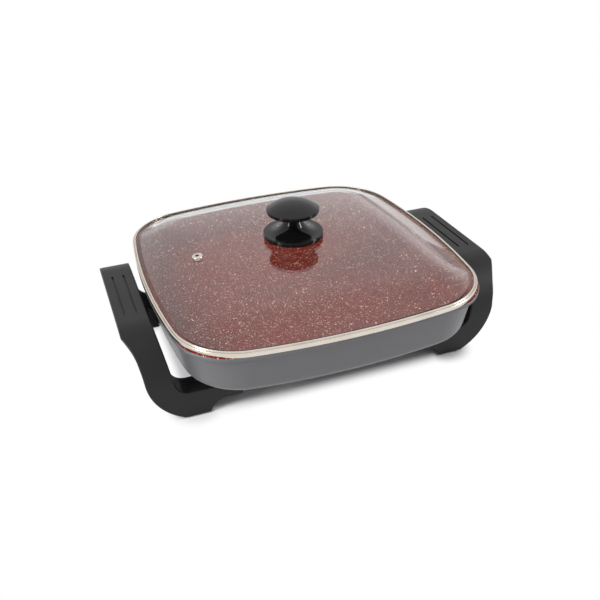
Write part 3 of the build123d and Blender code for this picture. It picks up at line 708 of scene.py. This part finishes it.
# Every point of the row carries a screw, turned to the point's aim and spun about it
def makeScrewTree():
    tree = bpy.data.node_groups.new("screwRow", "GeometryNodeTree")
    kinds = {"Geometry": "Geometry", "Screw": "Object", "Finish": "Material", "Seed": "Int"}
    for label, kind in kinds.items():
        tree.interface.new_socket(label, in_out="INPUT", socket_type="NodeSocket" + kind)
    tree.interface.new_socket("Geometry", in_out="OUTPUT", socket_type="NodeSocketGeometry")
    given = tree.nodes.new("NodeGroupInput").outputs
    result = tree.nodes.new("NodeGroupOutput").inputs
    aim = put(tree, "GeometryNodeInputNamedAttribute", {"data_type": "FLOAT_VECTOR"}, Name="aim")
    faced = put(tree, "FunctionNodeAlignRotationToVector", {"axis": "Z"}, Vector=aim.outputs[0])
    angle = put(tree, "FunctionNodeRandomValue", {"data_type": "FLOAT"})
    feed(tree, angle.inputs[3], 2 * pi)
    feed(tree, angle.inputs["Seed"], given["Seed"])
    spin = put(tree, "FunctionNodeAxisAngleToRotation", Axis=(0, 0, 1), Angle=angle.outputs[1])
    both = put(
        tree, "FunctionNodeRotateRotation", {"rotation_space": "LOCAL"},
        Rotation=faced.outputs[0], Rotate_By=spin.outputs[0],
    )
    form = put(tree, "GeometryNodeObjectInfo", Object=given["Screw"])
    row = put(
        tree, "GeometryNodeInstanceOnPoints",
        Points=given["Geometry"], Instance=form.outputs["Geometry"], Rotation=both.outputs[0],
    )
    real = put(tree, "GeometryNodeRealizeInstances", Geometry=row.outputs[0])
    done = put(tree, "GeometryNodeSetMaterial", Geometry=real.outputs[0], Material=given["Finish"])
    tree.links.new(done.outputs[0], result["Geometry"])
    return tree


screwTree = makeScrewTree()


# Lowest and highest corner of each loose part of a CAD node, in mm
def looseBoxes(name):
    form = mergedCopy(name)
    left = set(form.verts)
    boxes = []
    while left:
        island, edge = set(), {left.pop()}
        while edge:
            island |= edge
            edge = {link.other_vert(vert) for vert in edge for link in vert.link_edges} - island
        left -= island
        spots = np.array([vert.co for vert in island]) / mm
        boxes.append((spots.min(axis=0), spots.max(axis=0)))
    form.free()
    return sorted(boxes, key=lambda corners: tuple(corners[0]))


def makeScrews(node, name, body, facing, shankShare, seed):
    points, aims = [], []
    for low, high in looseBoxes(node):
        aim = np.array(facing or (np.sign(low[0] + high[0]), 0, 0), float)
        along = int(np.argmax(np.abs(aim)))
        headRadius = (high - low)[(along + 1) % 3] / 2
        headHeight = headRadius * screw["headHeight"]
        length = (high - low)[along]
        middle = (low + high) / 2
        points.append((middle + aim * (length / 2 - headHeight)) * mm)
        aims.append(aim)
    form = screwForm(headRadius, headHeight, headRadius * shankShare, length - headHeight)
    holder = bpy.data.objects.new("holder", form)
    spots = newMesh("spots", points, [], [])
    aimed = spots.attributes.new("aim", "FLOAT_VECTOR", "POINT")
    aimed.data.foreach_set("vector", np.array(aims).ravel())
    row = bpy.data.objects.new("row", spots)
    scene.collection.objects.link(row)
    maker = row.modifiers.new("screwRow", "NODES")
    maker.node_group = screwTree
    values = {"Screw": holder, "Finish": finishes["zinc"], "Seed": seed}
    for socket in screwTree.interface.items_tree:
        if socket.in_out == "INPUT" and socket.name in values:
            maker[socket.identifier] = values[socket.name]
    mesh = settled(row, name)
    bpy.data.objects.remove(holder)
    addPiece(mesh, body, [node], sharp=30)


for seed, values in enumerate(screwRows):
    makeScrews(*values, seed)
print("screws made")

# Every CAD node that shows gets its finish
nodeFinishes = {
    "steel": ["vent_eyelet"],
    "handle": ["left_handle", "right_handle"],
    "rubber": [
        "knob_gasket", "front_left_foot_pad", "front_right_foot_pad",
        "rear_left_foot_pad", "rear_right_foot_pad",
    ],
    "zinc": ["knob_washer"],
    "sheath": ["heating_element"],
    "clamp": ["front_element_clamp", "rear_element_clamp", "left_element_clamp"],
    "nickel": ["front_terminal_pin", "rear_terminal_pin"],
    "ceramic": ["front_terminal_bush", "rear_terminal_bush"],
    "inlet": ["inlet_shroud"],
    "pan": ["probe_boss"],
}
for finish, names in nodeFinishes.items():
    for name in names:
        nodes[name].data.materials.clear()
        nodes[name].data.materials.append(finishes[finish])
print("CAD nodes finished")

# Floor, light and camera
studio = {
    "floorSize": 14.0, "floorColour": (0.74, 0.74, 0.75, 1),
    "shadowHalf": (0.1285, 0.084), "shadowFade": (0.010, 0.021), "footReach": 0.013, "footFade": 0.018,
    "sky": (0.08, 1.28),  # at the horizon and overhead
    "mirroredHorizon": 0.45,  # brightness of the horizon in glossy surfaces
    "mirrored": [  # a lower and an upper height, and the change in brightness between them
        (0.02, 0.13, 0.55), (0.25, 0.45, -0.13), (0.55, 0.75, 0.13),
    ],
    "softboxes": [  # place, width, height, watts, and whether it only makes glints
        ((-1.30, -0.45, 1.10), 0.60, 1.00, 28.0, False),
        ((1.45, -0.20, 1.00), 0.60, 0.90, 5.0, False),
        ((-1.38, -0.40, 0.55), 0.30, 0.95, 10.0, True),
        ((1.30, -0.62, 0.55), 0.22, 0.95, 12.0, True),
    ],
    "aim": (0, 0, 0.10),
}


# Rays that show the background as it is, unless they left a rough surface
def backdropRay(tree):
    path = put(tree, "ShaderNodeLightPath").outputs
    shown = calc(tree, "MAXIMUM", path["Is Camera Ray"], path["Is Transmission Ray"])
    shown = calc(tree, "MAXIMUM", shown, path["Is Glossy Ray"])
    return calc(tree, "MULTIPLY", shown, calc(tree, "LESS_THAN", path["Diffuse Depth"], 0.5))


def makeFloor():
    half = studio["floorSize"] / 2
    corners = [(-half, -half, 0), (half, -half, 0), (half, half, 0), (-half, half, 0)]
    material, tree, surface, place = newMaterial("paleFloor")
    apart = put(tree, "ShaderNodeSeparateXYZ", Vector=place).outputs
    gaps = []  # the shadow under the pan and the feet stays, and fades into white
    for i in (0, 1):
        past = calc(tree, "SUBTRACT", calc(tree, "ABSOLUTE", apart[i]), studio["shadowHalf"][i])
        gaps.append(calc(tree, "DIVIDE", calc(tree, "MAXIMUM", past, 0.0), studio["shadowFade"][i]))
    squares = calc(tree, "MULTIPLY_ADD", gaps[0], gaps[0], calc(tree, "MULTIPLY", gaps[1], gaps[1]))
    gap = calc(tree, "SQRT", squares)
    for name in nodes:
        if name.endswith("foot_pad"):
            low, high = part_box(name)
            middle = ((low[0] + high[0]) / 2, (low[1] + high[1]) / 2, 0)
            far = put(tree, "ShaderNodeVectorMath", {"operation": "DISTANCE"})
            feed(tree, far.inputs[0], place)
            feed(tree, far.inputs[1], middle)
            past = calc(tree, "SUBTRACT", far.outputs["Value"], studio["footReach"])
            gap = calc(tree, "MINIMUM", gap, calc(tree, "DIVIDE", past, studio["footFade"]))
    away = spread(tree, gap, 0.0, 1.0, soft="SMOOTHSTEP")
    shown = backdropRay(tree)
    matt = put(tree, "ShaderNodeBsdfDiffuse", Color=studio["floorColour"])
    white = put(tree, "ShaderNodeEmission", Color=(1, 1, 1, 1), Strength=1.0)
    mix = put(tree, "ShaderNodeMixShader", Fac=calc(tree, "MULTIPLY", away, shown))
    tree.links.new(matt.outputs[0], mix.inputs[1])
    tree.links.new(white.outputs[0], mix.inputs[2])
    tree.links.new(mix.outputs[0], surface)
    mesh = newMesh("floor", corners, [(0, 1, 2, 3)], [material])
    floor = bpy.data.objects.new("floor", mesh)
    scene.collection.objects.link(floor)


def makeLight():
    world = bpy.data.worlds.new("studio")
    world.use_nodes = True
    tree = world.node_tree
    tree.nodes.clear()
    shown = backdropRay(tree)
    way = put(tree, "ShaderNodeTexCoord").outputs["Generated"]
    height = put(tree, "ShaderNodeSeparateXYZ", Vector=way).outputs[2]
    soft = spread(tree, height, 0.0, 1.0, *studio["sky"])
    mirrored = studio["mirroredHorizon"]
    for low, high, change in studio["mirrored"]:
        step = spread(tree, height, low, high, 0.0, change, soft="SMOOTHSTEP")
        mirrored = calc(tree, "ADD", mirrored, step)
    glossy = put(tree, "ShaderNodeLightPath").outputs["Is Glossy Ray"]
    seen = calc(tree, "MULTIPLY_ADD", glossy, calc(tree, "SUBTRACT", mirrored, 1.0), 1.0)
    level = calc(tree, "MULTIPLY_ADD", shown, calc(tree, "SUBTRACT", seen, soft), soft)
    sky = put(tree, "ShaderNodeBackground", Color=(1, 1, 1, 1), Strength=level)
    tree.links.new(sky.outputs[0], tree.nodes.new("ShaderNodeOutputWorld").inputs["Surface"])
    scene.world = world
    for i, (place, width, tall, watts, glint) in enumerate(studio["softboxes"]):
        lamp = bpy.data.lights.new(f"softbox{i}", "AREA")
        lamp.shape = "RECTANGLE"
        lamp.size, lamp.size_y = width, tall
        lamp.energy = watts
        holder = bpy.data.objects.new(f"softbox{i}", lamp)
        holder.location = place
        beam = Vector(studio["aim"]) - Vector(place)
        holder.rotation_euler = beam.to_track_quat("-Z", "Y").to_euler()
        holder.visible_diffuse = not glint
        holder.visible_glossy = glint
        holder.visible_transmission = False
        scene.collection.objects.link(holder)


view = {
    "lens": 43.746, "sensor": 36.0, "shift": (0.0473, 0.0012), "clipStart": 0.01,
    "eye": (-0.2191, -0.6021, 0.4335), "heading": 17.86, "down": 31.58, "roll": -2.39,
}


def makeCamera():
    data = bpy.data.cameras.new("camera")
    data.lens = view["lens"]
    data.sensor_width = view["sensor"]
    data.shift_x, data.shift_y = view["shift"]
    data.clip_start = view["clipStart"]
    camera = bpy.data.objects.new("camera", data)
    turn = (
        Matrix.Rotation(radians(-view["heading"]), 4, "Z")
        @ Matrix.Rotation(radians(90 - view["down"]), 4, "X")
        @ Matrix.Rotation(radians(view["roll"]), 4, "Z")
    )
    camera.matrix_world = Matrix.Translation(view["eye"]) @ turn
    scene.collection.objects.link(camera)
    scene.camera = camera


makeFloor()
makeLight()
makeCamera()
scene.view_settings.view_transform = "Standard"
print("stage, light and camera set")

bpy.context.view_layer.update()
